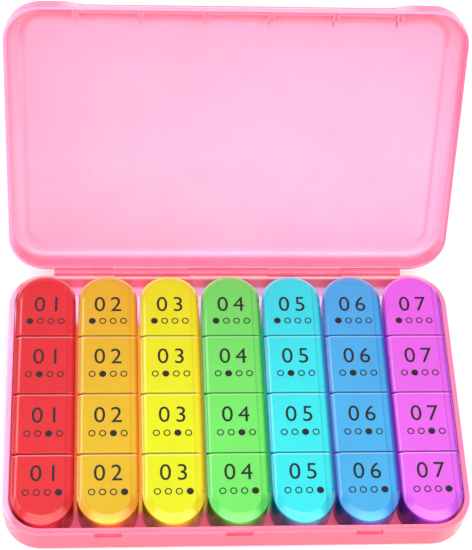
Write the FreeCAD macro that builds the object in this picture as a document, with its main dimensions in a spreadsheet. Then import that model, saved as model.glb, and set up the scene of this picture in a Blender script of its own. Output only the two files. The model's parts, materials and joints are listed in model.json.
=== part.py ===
import FreeCAD, Part
import math
import os
import re
import Sketcher

# Weekly pill case: a clamshell tray and lid on one long hinge pin, seven lift-out
# day boxes standing side by side in the tray, and four flip lids on each box.
#
# Frame, in millimetres: X across the days (right), Y from the opening edge of the
# case to its hinge (back), Z up.  The origin is the middle of the tray's underside.
# The case lid is modelled on its hinge axis and stands open on its stop.

document = FreeCAD.newDocument("pill_case")

# ---------------------------------------------------------------------------
# Driving dimensions
# ---------------------------------------------------------------------------

SIZES = (
    # The case seen from above
    ("case_width", 220.0),
    ("case_depth", 141.0),
    ("corner_radius", 18.0),
    # Tray
    ("tray_wall", 2.8),
    ("tray_floor", 2.0),
    ("tray_edge_round", 5.0),
    ("tray_inner_round", 2.2),
    ("ledge_width", 1.5),
    ("lip_height", 1.2),
    ("nail_notch_width", 12.4),
    ("nail_notch_height", 3.6),
    ("nail_notch_reach", 1.0),
    # Case lid
    ("lid_wall", 1.9),
    ("lid_headroom", 4.6),
    ("lid_edge_round", 6.0),
    ("lid_open_angle", 116.6),
    ("lid_seam", 0.15),
    ("lip_gap", 0.25),
    ("grip_reach", 1.5),
    ("grip_ramp", 8.0),
    ("grip_lip", 2.5),
    ("rib_width", 3.2),
    ("rib_reach", 2.8),
    # Case hinge
    ("hinge_offset", 1.8),
    ("knuckle_radius", 2.2),
    ("knuckle_gap", 0.15),
    ("knuckle_room", 0.3),
    ("end_knuckle", 30.0),
    ("middle_knuckle", 40.0),
    ("lid_knuckle", 37.6),
    ("pin_radius", 0.9),
    ("pin_gap", 0.05),
    ("pin_chamfer", 0.25),
    ("bore_end_wall", 1.5),
    ("heel_drop", 3.8),
    ("heel_gap", 0.06),
    # Day boxes
    ("side_play", 1.1),
    ("end_play", 0.7),
    ("box_gap", 1.3),
    ("box_seat", 0.1),
    ("box_height", 19.4),
    ("box_reveal", 2.0),
    ("box_wall", 1.3),
    ("box_floor", 1.2),
    ("partition", 1.4),
    ("scoop_round", 3.0),
    ("flap_pitch", 32.0),
    # Hinge ears of the boxes and trunnions of the flip lids
    ("ear_width", 2.4),
    ("ear_radius", 1.05),
    ("ear_root", 4.0),
    ("ear_gap", 0.2),
    ("ear_cover", 30.0),
    ("outer_ear_inset", 1.6),
    ("trunnion_radius", 0.6),
    ("trunnion_gap", 0.05),
    ("trunnion_tip_gap", 0.2),
    # Flip lids
    ("flap_height", 3.8),
    ("flap_seat", 0.2),
    ("flap_seam", 0.8),
    ("flap_skin", 1.4),
    ("flap_rim", 1.3),
    ("seam_bevel", 0.4),
    ("bevel_width", 3.0),
    ("bevel_drop", 1.4),
    ("facet_width", 4.0),
    ("facet_end", 55.0),
    ("nose_spread", 0.4),
    ("nose_reach", 3.8),
    ("nose_drop", 2.0),
)

sizes = document.addObject("Spreadsheet::Sheet", "Sizes")
for row, (alias, number) in enumerate(SIZES, start=1):
    sizes.set("A%d" % row, alias)
    sizes.set("B%d" % row, "%g" % number)
    sizes.setAlias("B%d" % row, alias)
document.recompute()

ALIASES = {alias for alias, number in SIZES}


def on_sheet(formula):
    """The formula as an expression, each size name pointing at its cell."""
    def point(match):
        word = match.group(0)
        return "Sizes." + word if word in ALIASES else word
    return re.sub(r"[a-z_]+", point, str(formula))


def value(formula):
    """The number that a formula on the sheet gives."""
    return float(sizes.evalExpression(on_sheet(formula)))


# What follows from the driving dimensions, as formulas on the sheet
HALF_WIDTH = "(case_width / 2)"
HALF_DEPTH = "(case_depth / 2)"
HINGE_Y = "(case_depth / 2 + hinge_offset)"
TRAY_HEIGHT = "(tray_floor + box_seat + box_height - box_reveal)"
CASE_MIDDLE = "(0 - case_depth / 2 - hinge_offset)"
CASE_FRONT = "(0 - case_depth - hinge_offset)"
DAYS = 7
SLOTS = 4
BOX_PITCH = "((case_width - 2 * tray_wall - 2 * side_play + box_gap) / %d)" % DAYS
BOX_WIDTH = "(%s - box_gap)" % BOX_PITCH
BOX_LENGTH = "(case_depth - 2 * tray_wall - 2 * end_play)"
BOX_RADIUS = "(%s / 2)" % BOX_WIDTH
ROUND_CENTRE = "(%s / 2 - %s)" % (BOX_LENGTH, BOX_RADIUS)
BARREL = "(flap_height / 2)"
FLAP_AXIS_X = "(%s - %s)" % (BOX_RADIUS, BARREL)
FLAP_AXIS_Z = "(box_height + flap_seat + %s)" % BARREL
FLAP_LENGTH = "(flap_pitch - flap_seam)"
OUTER_EAR = "(%s - outer_ear_inset)" % ROUND_CENTRE
LID_DEPTH = "(box_reveal + flap_seat + flap_height - lid_seam + lid_headroom + lid_wall)"
REBATE_DEPTH = "(lip_height + lip_gap)"
GRIP_HALF = "(2.5 * %s + grip_ramp / 2)" % BOX_PITCH


# ---------------------------------------------------------------------------
# Sketches and features
# ---------------------------------------------------------------------------

def new_body(label):
    """An empty body named after its piece."""
    body = document.addObject("PartDesign::Body", label)
    body.Label = label
    return body


def new_sketch(body, name, plane, height="0"):
    """A sketch on one of the body's own planes, moved along the plane's normal."""
    sketch = body.newObject("Sketcher::SketchObject", body.Name + "_" + name)
    planes = {item.Role: item for item in body.Origin.OriginFeatures}
    sketch.AttachmentSupport = [(planes[plane], "")]
    sketch.MapMode = "FlatFace"
    sketch.setExpression("AttachmentOffset.Base.z", on_sheet(height))
    return sketch


def bind(sketch, name, formula, kind, *places):
    """A driving constraint whose size is a formula on the sheet."""
    index = sketch.addConstraint(Sketcher.Constraint(kind, *places, value(formula)))
    sketch.renameConstraint(index, name)
    sketch.setExpression("Constraints." + name, on_sheet(formula))


def tie(sketch, kind, *places):
    """A constraint without a size."""
    sketch.addConstraint(Sketcher.Constraint(kind, *places))


def point(x, y):
    """A point in a sketch."""
    return FreeCAD.Vector(x, y, 0)


def arc_about(centre, radius, start, end):
    """An arc that runs anticlockwise between two angles in degrees."""
    circle = Part.Circle(centre, FreeCAD.Vector(0, 0, 1), radius)
    return Part.ArcOfCircle(circle, math.radians(start), math.radians(end))


def add_rounded_rectangle(sketch, tag, left, right, front, back, radius):
    """A rectangle with four equal corner arcs between four driven sides."""
    x_low, x_high, y_low, y_high, corner = [value(item) for item in (left, right, front, back, radius)]
    corners = ((x_high - corner, y_low + corner, 270), (x_high - corner, y_high - corner, 0),
               (x_low + corner, y_high - corner, 90), (x_low + corner, y_low + corner, 180))
    lines = [
        Part.LineSegment(point(x_low + corner, y_low), point(x_high - corner, y_low)),
        Part.LineSegment(point(x_high, y_low + corner), point(x_high, y_high - corner)),
        Part.LineSegment(point(x_high - corner, y_high), point(x_low + corner, y_high)),
        Part.LineSegment(point(x_low, y_high - corner), point(x_low, y_low + corner)),
    ]
    side = [sketch.addGeometry(line) for line in lines]
    arcs = [sketch.addGeometry(arc_about(point(x, y), corner, start, start + 90))
            for x, y, start in corners]
    for index in range(4):
        tie(sketch, "Tangent", side[index], 2, arcs[index], 1)
        tie(sketch, "Tangent", arcs[index], 2, side[(index + 1) % 4], 1)
    tie(sketch, "Horizontal", side[0])
    tie(sketch, "Vertical", side[1])
    tie(sketch, "Horizontal", side[2])
    tie(sketch, "Vertical", side[3])
    for index in range(1, 4):
        tie(sketch, "Equal", arcs[0], arcs[index])
    bind(sketch, tag + "_radius", radius, "Radius", arcs[0])
    bind(sketch, tag + "_right", right, "DistanceX", -1, 1, side[1], 1)
    bind(sketch, tag + "_left", left, "DistanceX", -1, 1, side[3], 1)
    bind(sketch, tag + "_front", front, "DistanceY", -1, 1, side[0], 1)
    bind(sketch, tag + "_back", back, "DistanceY", -1, 1, side[2], 1)


def add_rectangle(sketch, tag, left, right, low, high):
    """A plain rectangle between four driven sides."""
    x_low, x_high, y_low, y_high = [value(item) for item in (left, right, low, high)]
    corners = (point(x_low, y_low), point(x_high, y_low), point(x_high, y_high), point(x_low, y_high))
    side = [sketch.addGeometry(Part.LineSegment(corners[index], corners[(index + 1) % 4]))
            for index in range(4)]
    for index in range(4):
        tie(sketch, "Coincident", side[index], 2, side[(index + 1) % 4], 1)
        tie(sketch, ("Horizontal", "Vertical")[index % 2], side[index])
    bind(sketch, tag + "_left", left, "DistanceX", -1, 1, side[0], 1)
    bind(sketch, tag + "_right", right, "DistanceX", -1, 1, side[1], 1)
    bind(sketch, tag + "_low", low, "DistanceY", -1, 1, side[0], 1)
    bind(sketch, tag + "_high", high, "DistanceY", -1, 1, side[2], 1)


def add_circle(sketch, tag, centre_x, centre_y, radius):
    """A circle with a driven centre and radius."""
    centre = point(value(centre_x), value(centre_y))
    circle = sketch.addGeometry(Part.Circle(centre, FreeCAD.Vector(0, 0, 1), value(radius)))
    bind(sketch, tag + "_radius", radius, "Radius", circle)
    bind(sketch, tag + "_x", centre_x, "DistanceX", -1, 1, circle, 3)
    bind(sketch, tag + "_y", centre_y, "DistanceY", -1, 1, circle, 3)


def finish(feature):
    """Recomputes the model and makes sure that the new feature stands."""
    document.recompute()
    if not feature.isValid() or feature.Shape.isNull():
        raise RuntimeError("%s failed: %s" % (feature.Name, feature.State))
    return feature


def pad(body, sketch, length):
    """Material raised from a sketch along its plane's normal."""
    feature = body.newObject("PartDesign::Pad", sketch.Name + "_pad")
    feature.Profile = sketch
    feature.setExpression("Length", on_sheet(length))
    return finish(feature)


def pocket(body, sketch, length, along_normal=False):
    """Material cut away, against the sketch plane's normal unless along_normal."""
    before = body.Shape.Volume
    feature = body.newObject("PartDesign::Pocket", sketch.Name + "_pocket")
    feature.Profile = sketch
    feature.setExpression("Length", on_sheet(length))
    feature.Reversed = along_normal
    finish(feature)
    if feature.Shape.Volume >= before:
        raise RuntimeError("%s cuts nothing" % feature.Name)
    return feature


def round_edges(body, name, radius, choose):
    """A fillet on the edges of the body's tip that choose picks."""
    base = body.Tip
    names = ["Edge%d" % (index + 1) for index, edge in enumerate(base.Shape.Edges) if choose(edge)]
    feature = body.newObject("PartDesign::Fillet", body.Name + "_" + name)
    feature.Base = (base, names)
    feature.setExpression("Radius", on_sheet(radius))
    return finish(feature)


def bevel_edges(body, name, size, choose):
    """A chamfer on the edges of the body's tip that choose picks."""
    base = body.Tip
    names = ["Edge%d" % (index + 1) for index, edge in enumerate(base.Shape.Edges) if choose(edge)]
    feature = body.newObject("PartDesign::Chamfer", body.Name + "_" + name)
    feature.Base = (base, names)
    feature.setExpression("Size", on_sheet(size))
    return finish(feature)


NEAR = 1e-4


def level_at(height):
    """Picks the edges that lie flat at one height."""
    level = value(height)
    return lambda edge: (abs(edge.BoundBox.ZMin - level) < NEAR
                         and abs(edge.BoundBox.ZMax - level) < NEAR)


# ---------------------------------------------------------------------------
# Case outline: the same rounded rectangle for tray and lid, drawn in by an inset
# ---------------------------------------------------------------------------

def add_case_outline(sketch, tag, inset, middle="0"):
    """The case outline, drawn in all round, about the case's middle in Y."""
    half_x = "(%s - %s)" % (HALF_WIDTH, inset)
    half_y = "(%s - %s)" % (HALF_DEPTH, inset)
    add_rounded_rectangle(sketch, tag, "(0 - %s)" % half_x, half_x,
                          "(%s - %s)" % (middle, half_y), "(%s + %s)" % (middle, half_y),
                          "(corner_radius - %s)" % inset)


def add_grip_outline(sketch, tag, inset):
    """The case outline on the lid's frame, its front side stepped in along the finger grip."""
    left = "(%s - %s)" % (inset, HALF_WIDTH)
    right = "(%s - %s)" % (HALF_WIDTH, inset)
    front = "(%s + %s)" % (CASE_FRONT, inset)
    grip = "(%s + grip_reach)" % front
    back = "(0 - hinge_offset - %s)" % inset
    corner = "(corner_radius - %s)" % inset
    inner_end = "(%s - grip_ramp)" % GRIP_HALF
    x_low, x_high, y_low, y_grip, y_high = [value(item) for item in (left, right, front, grip, back)]
    bend, reach, knee = [value(item) for item in (corner, GRIP_HALF, inner_end)]
    path = [(x_low + bend, y_low), (-reach, y_low), (-knee, y_grip), (knee, y_grip), (reach, y_low),
            (x_high - bend, y_low), (x_high, y_low + bend), (x_high, y_high - bend),
            (x_high - bend, y_high), (x_low + bend, y_high), (x_low, y_high - bend),
            (x_low, y_low + bend)]
    centres = {5: (x_high - bend, y_low + bend, 270), 7: (x_high - bend, y_high - bend, 0),
               9: (x_low + bend, y_high - bend, 90), 11: (x_low + bend, y_low + bend, 180)}
    pieces = []
    for index, (x, y) in enumerate(path):
        if index in centres:
            middle_x, middle_y, start = centres[index]
            shape = arc_about(point(middle_x, middle_y), bend, start, start + 90)
        else:
            shape = Part.LineSegment(point(x, y), point(*path[(index + 1) % len(path)]))
        pieces.append(sketch.addGeometry(shape))
    for index, piece in enumerate(pieces):
        following = (index + 1) % len(pieces)
        smooth = index in centres or following in centres
        tie(sketch, "Tangent" if smooth else "Coincident", piece, 2, pieces[following], 1)
    for index in (0, 2, 4, 8):
        tie(sketch, "Horizontal", pieces[index])
    for index in (6, 10):
        tie(sketch, "Vertical", pieces[index])
    for index in (7, 9, 11):
        tie(sketch, "Equal", pieces[5], pieces[index])
    bind(sketch, tag + "_radius", corner, "Radius", pieces[5])
    bind(sketch, tag + "_right", right, "DistanceX", -1, 1, pieces[6], 1)
    bind(sketch, tag + "_left", left, "DistanceX", -1, 1, pieces[10], 1)
    bind(sketch, tag + "_back", back, "DistanceY", -1, 1, pieces[8], 1)
    bind(sketch, tag + "_front", front, "DistanceY", -1, 1, pieces[0], 1)
    bind(sketch, tag + "_front_right", front, "DistanceY", -1, 1, pieces[4], 1)
    bind(sketch, tag + "_grip", grip, "DistanceY", -1, 1, pieces[2], 1)
    for name, index, formula in (("ramp_start", 1, "(0 - %s)" % GRIP_HALF),
                                 ("ramp_end", 2, "(0 - %s)" % inner_end),
                                 ("grip_end", 3, inner_end), ("ramp_far", 4, GRIP_HALF)):
        bind(sketch, tag + "_" + name, formula, "DistanceX", -1, 1, pieces[index], 1)


# ---------------------------------------------------------------------------
# Case hinge: five knuckles in a row along X, three on the tray and two on the lid
# ---------------------------------------------------------------------------

BARREL_HALF = "(end_knuckle + lid_knuckle + middle_knuckle / 2 + 2 * knuckle_gap)"
TRAY_KNUCKLES = (
    ("left", "(0 - %s)" % BARREL_HALF, "end_knuckle"),
    ("middle", "(0 - middle_knuckle / 2)", "middle_knuckle"),
    ("right", "(%s - end_knuckle)" % BARREL_HALF, "end_knuckle"),
)
LID_KNUCKLES = (
    ("left", "(0 - middle_knuckle / 2 - knuckle_gap - lid_knuckle)", "lid_knuckle"),
    ("right", "(middle_knuckle / 2 + knuckle_gap)", "lid_knuckle"),
)
PIN_START = "(0 - %s)" % BARREL_HALF
PIN_LENGTH = "(2 * %s - bore_end_wall)" % BARREL_HALF


def add_knuckle_profile(sketch, middle_y, middle_z, wall_above):
    """A round knuckle with one square quarter, above or below, that joins it to its wall."""
    centre_y, centre_z, radius = [value(item) for item in (middle_y, middle_z, "knuckle_radius")]
    rise = radius if wall_above else -radius
    side = point(centre_y - radius, centre_z)
    corner = point(centre_y - radius, centre_z + rise)
    crown = point(centre_y, centre_z + rise)
    first, last = (180, 450) if wall_above else (270, 540)
    side_end, crown_end = (1, 2) if wall_above else (2, 1)
    arc = sketch.addGeometry(arc_about(point(centre_y, centre_z), radius, first, last))
    upright = sketch.addGeometry(Part.LineSegment(side, corner))
    level = sketch.addGeometry(Part.LineSegment(corner, crown))
    tie(sketch, "Coincident", upright, 2, level, 1)
    tie(sketch, "Coincident", arc, side_end, upright, 1)
    tie(sketch, "Coincident", arc, crown_end, level, 2)
    tie(sketch, "Vertical", upright)
    tie(sketch, "Horizontal", level)
    tie(sketch, "Horizontal", arc, 3, arc, side_end)
    tie(sketch, "Vertical", arc, 3, arc, crown_end)
    bind(sketch, "radius", "knuckle_radius", "Radius", arc)
    bind(sketch, "middle_y", middle_y, "DistanceX", -1, 1, arc, 3)
    bind(sketch, "middle_z", middle_z, "DistanceY", -1, 1, arc, 3)


def cut_round_bar(body, name, middle_y, middle_z, radius, start, length):
    """Cuts a round bar along X out of the body, from start over length."""
    sketch = new_sketch(body, name, "YZ_Plane", "(%s + %s)" % (start, length))
    add_circle(sketch, "bar", middle_y, middle_z, radius)
    pocket(body, sketch, length)


def add_hinge(body, middle_y, middle_z, own, other, wall_above):
    """One leaf of the hinge: room for the other leaf's knuckles, then the leaf's own."""
    for name, start, length in other:
        cut_round_bar(body, "relief_" + name, middle_y, middle_z, "(knuckle_radius + knuckle_room)",
                      "(%s - knuckle_gap)" % start, "(%s + 2 * knuckle_gap)" % length)
    for name, start, length in own:
        sketch = new_sketch(body, "knuckle_" + name, "YZ_Plane", start)
        add_knuckle_profile(sketch, middle_y, middle_z, wall_above)
        pad(body, sketch, length)


# ---------------------------------------------------------------------------
# Tray: floor, four walls, a set-back lip inside the lid's seat, hinge knuckles
# ---------------------------------------------------------------------------

tray = new_body("base_tray")

outline = new_sketch(tray, "outline", "XY_Plane")
add_case_outline(outline, "case", "0")
pad(tray, outline, TRAY_HEIGHT)
round_edges(tray, "foot", "tray_edge_round", level_at("0"))

cavity = new_sketch(tray, "cavity", "XY_Plane", "tray_floor")
add_case_outline(cavity, "inside", "tray_wall")
pocket(tray, cavity, TRAY_HEIGHT, along_normal=True)
round_edges(tray, "floor_round", "tray_inner_round", level_at("tray_floor"))

lip = new_sketch(tray, "lip", "XY_Plane", TRAY_HEIGHT)
add_case_outline(lip, "outside", "ledge_width")
add_case_outline(lip, "inside", "tray_wall")
pad(tray, lip, "lip_height")

# three finger-nail notches under the lid's edge, in line with every other day box
notches = new_sketch(tray, "nail_notches", "XZ_Plane", HALF_DEPTH)
for step, tag in ((-2, "left"), (0, "middle"), (2, "right")):
    notch_x = "(%d * %s)" % (step, BOX_PITCH)
    add_rectangle(notches, tag, "(%s - nail_notch_width / 2)" % notch_x,
                  "(%s + nail_notch_width / 2)" % notch_x,
                  "(%s - nail_notch_height)" % TRAY_HEIGHT, TRAY_HEIGHT)
pocket(tray, notches, "nail_notch_reach")

add_hinge(tray, HINGE_Y, TRAY_HEIGHT, TRAY_KNUCKLES, LID_KNUCKLES, wall_above=False)
cut_round_bar(tray, "pin_bore", HINGE_Y, TRAY_HEIGHT, "(pin_radius + pin_gap)",
              PIN_START, PIN_LENGTH)


# ---------------------------------------------------------------------------
# Case lid, in its own frame: the hinge axis is X, and Y and Z are those of the shut lid
# ---------------------------------------------------------------------------

lid = new_body("case_lid")

shell = new_sketch(lid, "shell", "XY_Plane", "lid_seam")
add_grip_outline(shell, "shell", "0")
pad(lid, shell, LID_DEPTH)

# below the grip the edge keeps the full outline, as a lip for the fingers
edge_band = new_sketch(lid, "edge", "XY_Plane", "lid_seam")
add_case_outline(edge_band, "edge", "0", CASE_MIDDLE)
pad(lid, edge_band, "grip_lip")

hollow = new_sketch(lid, "hollow", "XY_Plane", "lid_seam")
add_grip_outline(hollow, "hollow", "lid_wall")
pocket(lid, hollow, "(%s - lid_wall)" % LID_DEPTH, along_normal=True)
round_edges(lid, "ceiling", "(lid_edge_round - lid_wall)",
            level_at("(lid_seam + %s - lid_wall)" % LID_DEPTH))

rebate = new_sketch(lid, "rebate", "XY_Plane", "lid_seam")
add_case_outline(rebate, "rebate", "(ledge_width - lip_gap)", CASE_MIDDLE)
pocket(lid, rebate, REBATE_DEPTH, along_normal=True)

# six ribs stiffen the opening edge, each over a gap between two rows of flip lids
ribs = new_sketch(lid, "ribs", "XY_Plane", "(lid_seam + %s)" % REBATE_DEPTH)
for count in range(DAYS - 1):
    rib_x = "(%s * %g)" % (BOX_PITCH, count - (DAYS - 2) / 2)
    add_rectangle(ribs, "rib%d" % count, "(%s - rib_width / 2)" % rib_x, "(%s + rib_width / 2)" % rib_x,
                  "(%s + (grip_reach + lid_wall) / 2)" % CASE_FRONT,
                  "(%s + grip_reach + lid_wall + rib_reach)" % CASE_FRONT)
pad(lid, ribs, "(%s - %s - lid_wall / 2)" % (LID_DEPTH, REBATE_DEPTH))

# the crown is rounded last, so that it rounds the ribs' outer ends too
round_edges(lid, "crown", "lid_edge_round", level_at("(lid_seam + %s)" % LID_DEPTH))

add_hinge(lid, "0", "0", LID_KNUCKLES, TRAY_KNUCKLES, wall_above=True)

# heels under the lid's knuckles meet the tray's back wall and stop the lid when it is open
for name, start, length in LID_KNUCKLES:
    heel = new_sketch(lid, "heel_" + name, "YZ_Plane", start)
    heel.setExpression("AttachmentOffset.Rotation.Angle", on_sheet("lid_open_angle"))
    add_rectangle(heel, "heel", "(heel_gap - hinge_offset)", "0", "(0 - heel_drop)", "0")
    pad(lid, heel, length)

cut_round_bar(lid, "pin_bore", "0", "0", "(pin_radius + pin_gap)", PIN_START, PIN_LENGTH)

backwards = FreeCAD.Rotation(FreeCAD.Vector(-1, 0, 0), value("lid_open_angle"))
lid.Placement = FreeCAD.Placement(FreeCAD.Vector(0, 0, 0), backwards)
lid.setExpression("Placement.Base.y", on_sheet(HINGE_Y))
lid.setExpression("Placement.Base.z", on_sheet(TRAY_HEIGHT))
lid.setExpression("Placement.Rotation.Angle", on_sheet("lid_open_angle"))


# ---------------------------------------------------------------------------
# Hinge pin: one steel wire through all five knuckles
# ---------------------------------------------------------------------------

pin = new_body("hinge_pin")
pin_round = new_sketch(pin, "round", "YZ_Plane", "(%s + pin_gap)" % PIN_START)
add_circle(pin_round, "pin", "0", "0", "pin_radius")
pad(pin, pin_round, "(%s - 2 * pin_gap)" % PIN_LENGTH)
bevel_edges(pin, "ends", "pin_chamfer", lambda edge: edge.BoundBox.XLength < NEAR)
pin.setExpression("Placement.Base.y", on_sheet(HINGE_Y))
pin.setExpression("Placement.Base.z", on_sheet(TRAY_HEIGHT))


# ---------------------------------------------------------------------------
# Day box, in its own frame: the middle of its underside.  A stadium with four wells,
# and on its right side the ears that carry the flip lids
# ---------------------------------------------------------------------------

def add_stadium(sketch, tag, inset):
    """The box outline, drawn in all round: two straight sides and two half rounds."""
    half = "(%s - %s)" % (BOX_RADIUS, inset)
    radius, middle = value(half), value(ROUND_CENTRE)
    back = sketch.addGeometry(arc_about(point(0, middle), radius, 0, 180))
    front = sketch.addGeometry(arc_about(point(0, -middle), radius, 180, 360))
    left = sketch.addGeometry(Part.LineSegment(point(-radius, middle), point(-radius, -middle)))
    right = sketch.addGeometry(Part.LineSegment(point(radius, -middle), point(radius, middle)))
    tie(sketch, "Tangent", back, 2, left, 1)
    tie(sketch, "Tangent", left, 2, front, 1)
    tie(sketch, "Tangent", front, 2, right, 1)
    tie(sketch, "Tangent", right, 2, back, 1)
    tie(sketch, "PointOnObject", back, 3, -2)
    tie(sketch, "PointOnObject", front, 3, -2)
    bind(sketch, tag + "_radius", half, "Radius", back)
    bind(sketch, tag + "_back", ROUND_CENTRE, "DistanceY", -1, 1, back, 3)
    bind(sketch, tag + "_front", ROUND_CENTRE, "DistanceY", front, 3, -1, 1)


def add_round_end(sketch, tag, half_width, side_y, arc_y, end):
    """A closed D: one straight side along X, two along Y and a half round at its end."""
    radius, straight, middle = [value(item) for item in (half_width, side_y, arc_y)]
    first, right_end, left_end = (0, 1, 2) if end > 0 else (180, 2, 1)
    arc = sketch.addGeometry(arc_about(point(0, middle), radius, first, first + 180))
    left = sketch.addGeometry(Part.LineSegment(point(-radius, middle), point(-radius, straight)))
    side = sketch.addGeometry(Part.LineSegment(point(-radius, straight), point(radius, straight)))
    right = sketch.addGeometry(Part.LineSegment(point(radius, straight), point(radius, middle)))
    tie(sketch, "Tangent", arc, left_end, left, 1)
    tie(sketch, "Tangent", arc, right_end, right, 2)
    tie(sketch, "Coincident", left, 2, side, 1)
    tie(sketch, "Coincident", side, 2, right, 1)
    tie(sketch, "Horizontal", side)
    tie(sketch, "Vertical", left)
    tie(sketch, "PointOnObject", arc, 3, -2)
    bind(sketch, tag + "_radius", half_width, "Radius", arc)
    bind(sketch, tag + "_arc", arc_y, "DistanceY", -1, 1, arc, 3)
    bind(sketch, tag + "_side", side_y, "DistanceY", -1, 1, side, 1)


def add_ear_profile(sketch):
    """An eye on a post whose foot is moulded onto the box's wall, level with the wall's top."""
    axis_x, axis_z, radius, half, top, root = [
        value(item) for item in (FLAP_AXIS_X, FLAP_AXIS_Z, "ear_radius", BOX_RADIUS,
                                 "box_height", "(box_height - ear_root)")]
    arc = sketch.addGeometry(arc_about(point(axis_x, axis_z), radius, -90, 180))
    corners = [point(axis_x - radius, axis_z), point(axis_x - radius, root), point(half, root),
               point(half, top), point(axis_x, top), point(axis_x, axis_z - radius)]
    loop = [sketch.addGeometry(Part.LineSegment(corners[index], corners[index + 1]))
            for index in range(len(corners) - 1)]
    for index in range(len(loop) - 1):
        tie(sketch, "Coincident", loop[index], 2, loop[index + 1], 1)
    tie(sketch, "Tangent", arc, 2, loop[0], 1)
    tie(sketch, "Coincident", loop[-1], 2, arc, 1)
    tie(sketch, "Vertical", arc, 3, arc, 1)
    for index in (0, 2, 4):
        tie(sketch, "Vertical", loop[index])
    for index in (1, 3):
        tie(sketch, "Horizontal", loop[index])
    bind(sketch, "radius", "ear_radius", "Radius", arc)
    bind(sketch, "axis_x", FLAP_AXIS_X, "DistanceX", -1, 1, arc, 3)
    bind(sketch, "axis_z", FLAP_AXIS_Z, "DistanceY", -1, 1, arc, 3)
    bind(sketch, "root", "(box_height - ear_root)", "DistanceY", -1, 1, loop[1], 1)
    bind(sketch, "wall", BOX_RADIUS, "DistanceX", -1, 1, loop[2], 1)
    bind(sketch, "top", "box_height", "DistanceY", -1, 1, loop[3], 1)


# places of the ears along the box, from its back to its front
EARS = (("back", OUTER_EAR), ("upper", "flap_pitch"), ("centre", "0"),
        ("lower", "(0 - flap_pitch)"), ("front", "(0 - %s)" % OUTER_EAR))

box = new_body("day_1_box")

stadium = new_sketch(box, "stadium", "XY_Plane")
add_stadium(stadium, "box", "0")
pad(box, stadium, "box_height")
round_edges(box, "foot", "tray_inner_round", level_at("0"))

wells = new_sketch(box, "wells", "XY_Plane", "box_floor")
well_half = "(%s - box_wall)" % BOX_RADIUS
for end, tag in ((1, "back"), (-1, "front")):
    add_round_end(wells, tag, well_half, "(%d * (flap_pitch + partition / 2))" % end,
                  "(%d * %s)" % (end, ROUND_CENTRE), end)
    near = "(%d * partition / 2)" % end
    far = "(%d * (flap_pitch - partition / 2))" % end
    low, high = (near, far) if end > 0 else (far, near)
    add_rectangle(wells, "middle_" + tag, "(0 - %s)" % well_half, well_half, low, high)
pocket(box, wells, "box_height", along_normal=True)
round_edges(box, "scoops", "scoop_round", level_at("box_floor"))

# the XZ plane's normal points forward, so its sketches are moved by minus y
for name, ear_y in EARS:
    ear = new_sketch(box, "ear_" + name, "XZ_Plane", "(0 - %s - ear_width / 2)" % ear_y)
    add_ear_profile(ear)
    pad(box, ear, "ear_width")

eyes = new_sketch(box, "eyes", "XZ_Plane", "(%s / 2)" % BOX_LENGTH)
add_circle(eyes, "eye", FLAP_AXIS_X, FLAP_AXIS_Z, "(trunnion_radius + trunnion_gap)")
pocket(box, eyes, BOX_LENGTH)


# ---------------------------------------------------------------------------
# Flip lids, in their own frame: the hinge axis is Y, the lid reaches to the left
# ---------------------------------------------------------------------------

FLAP_LEFT = "(%s - %s)" % (BARREL, BOX_WIDTH)
FLAP_MIDDLE_X = "(0 - %s)" % FLAP_AXIS_X
EYE_ROOM = "(ear_radius + ear_gap)"


def add_flap_profile(sketch):
    """The flip lid across its hinge: bevelled left side, flat top, faceted half-round right side."""
    left, radius, wide, drop, band = [value(item) for item in
                                      (FLAP_LEFT, BARREL, "bevel_width", "bevel_drop", "facet_width")]
    end = value("facet_end")
    barrel = sketch.addGeometry(arc_about(point(0, 0), radius, -90, end))
    facet_foot = point(radius * math.cos(math.radians(end)), radius * math.sin(math.radians(end)))
    corners = [facet_foot, point(radius - band, radius), point(left + wide, radius),
               point(left, radius - drop), point(left, -radius), point(0, -radius)]
    facet, top, bevel, side, base = [
        sketch.addGeometry(Part.LineSegment(corners[index], corners[index + 1]))
        for index in range(len(corners) - 1)]
    tie(sketch, "Coincident", barrel, 2, facet, 1)
    tie(sketch, "Coincident", facet, 2, top, 1)
    tie(sketch, "Coincident", top, 2, bevel, 1)
    tie(sketch, "Coincident", bevel, 2, side, 1)
    tie(sketch, "Coincident", side, 2, base, 1)
    tie(sketch, "Tangent", base, 2, barrel, 1)
    tie(sketch, "Horizontal", top)
    tie(sketch, "Vertical", side)
    tie(sketch, "Horizontal", base)
    tie(sketch, "Coincident", barrel, 3, -1, 1)
    bind(sketch, "barrel", BARREL, "Radius", barrel)
    bind(sketch, "facet_foot", "(%s * cos(facet_end))" % BARREL, "DistanceX", -1, 1, barrel, 2)
    bind(sketch, "facet_top", "(%s - facet_width)" % BARREL, "DistanceX", -1, 1, top, 1)
    bind(sketch, "top", BARREL, "DistanceY", -1, 1, top, 1)
    bind(sketch, "bevel_top", "(%s + bevel_width)" % FLAP_LEFT, "DistanceX", -1, 1, top, 2)
    bind(sketch, "bevel_foot", "(%s - bevel_drop)" % BARREL, "DistanceY", -1, 1, side, 1)
    bind(sketch, "left", FLAP_LEFT, "DistanceX", -1, 1, side, 1)


def top_edges_at(place):
    """Picks the edges of the flip lid's top and bevels across one place along its axis."""
    y, low = value(place), value("(%s - bevel_drop)" % BARREL)

    def choose(edge):
        span = edge.BoundBox
        return abs(span.YMin - y) < NEAR and abs(span.YMax - y) < NEAR and span.ZMin > low - NEAR
    return choose


def flap_body(label, low, high):
    """The plain flip lid between two places along its axis."""
    body = new_body(label)
    profile = new_sketch(body, "profile", "XZ_Plane", "(0 - %s)" % high)
    add_flap_profile(profile)
    pad(body, profile, "(%s - %s)" % (high, low))
    return body


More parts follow.
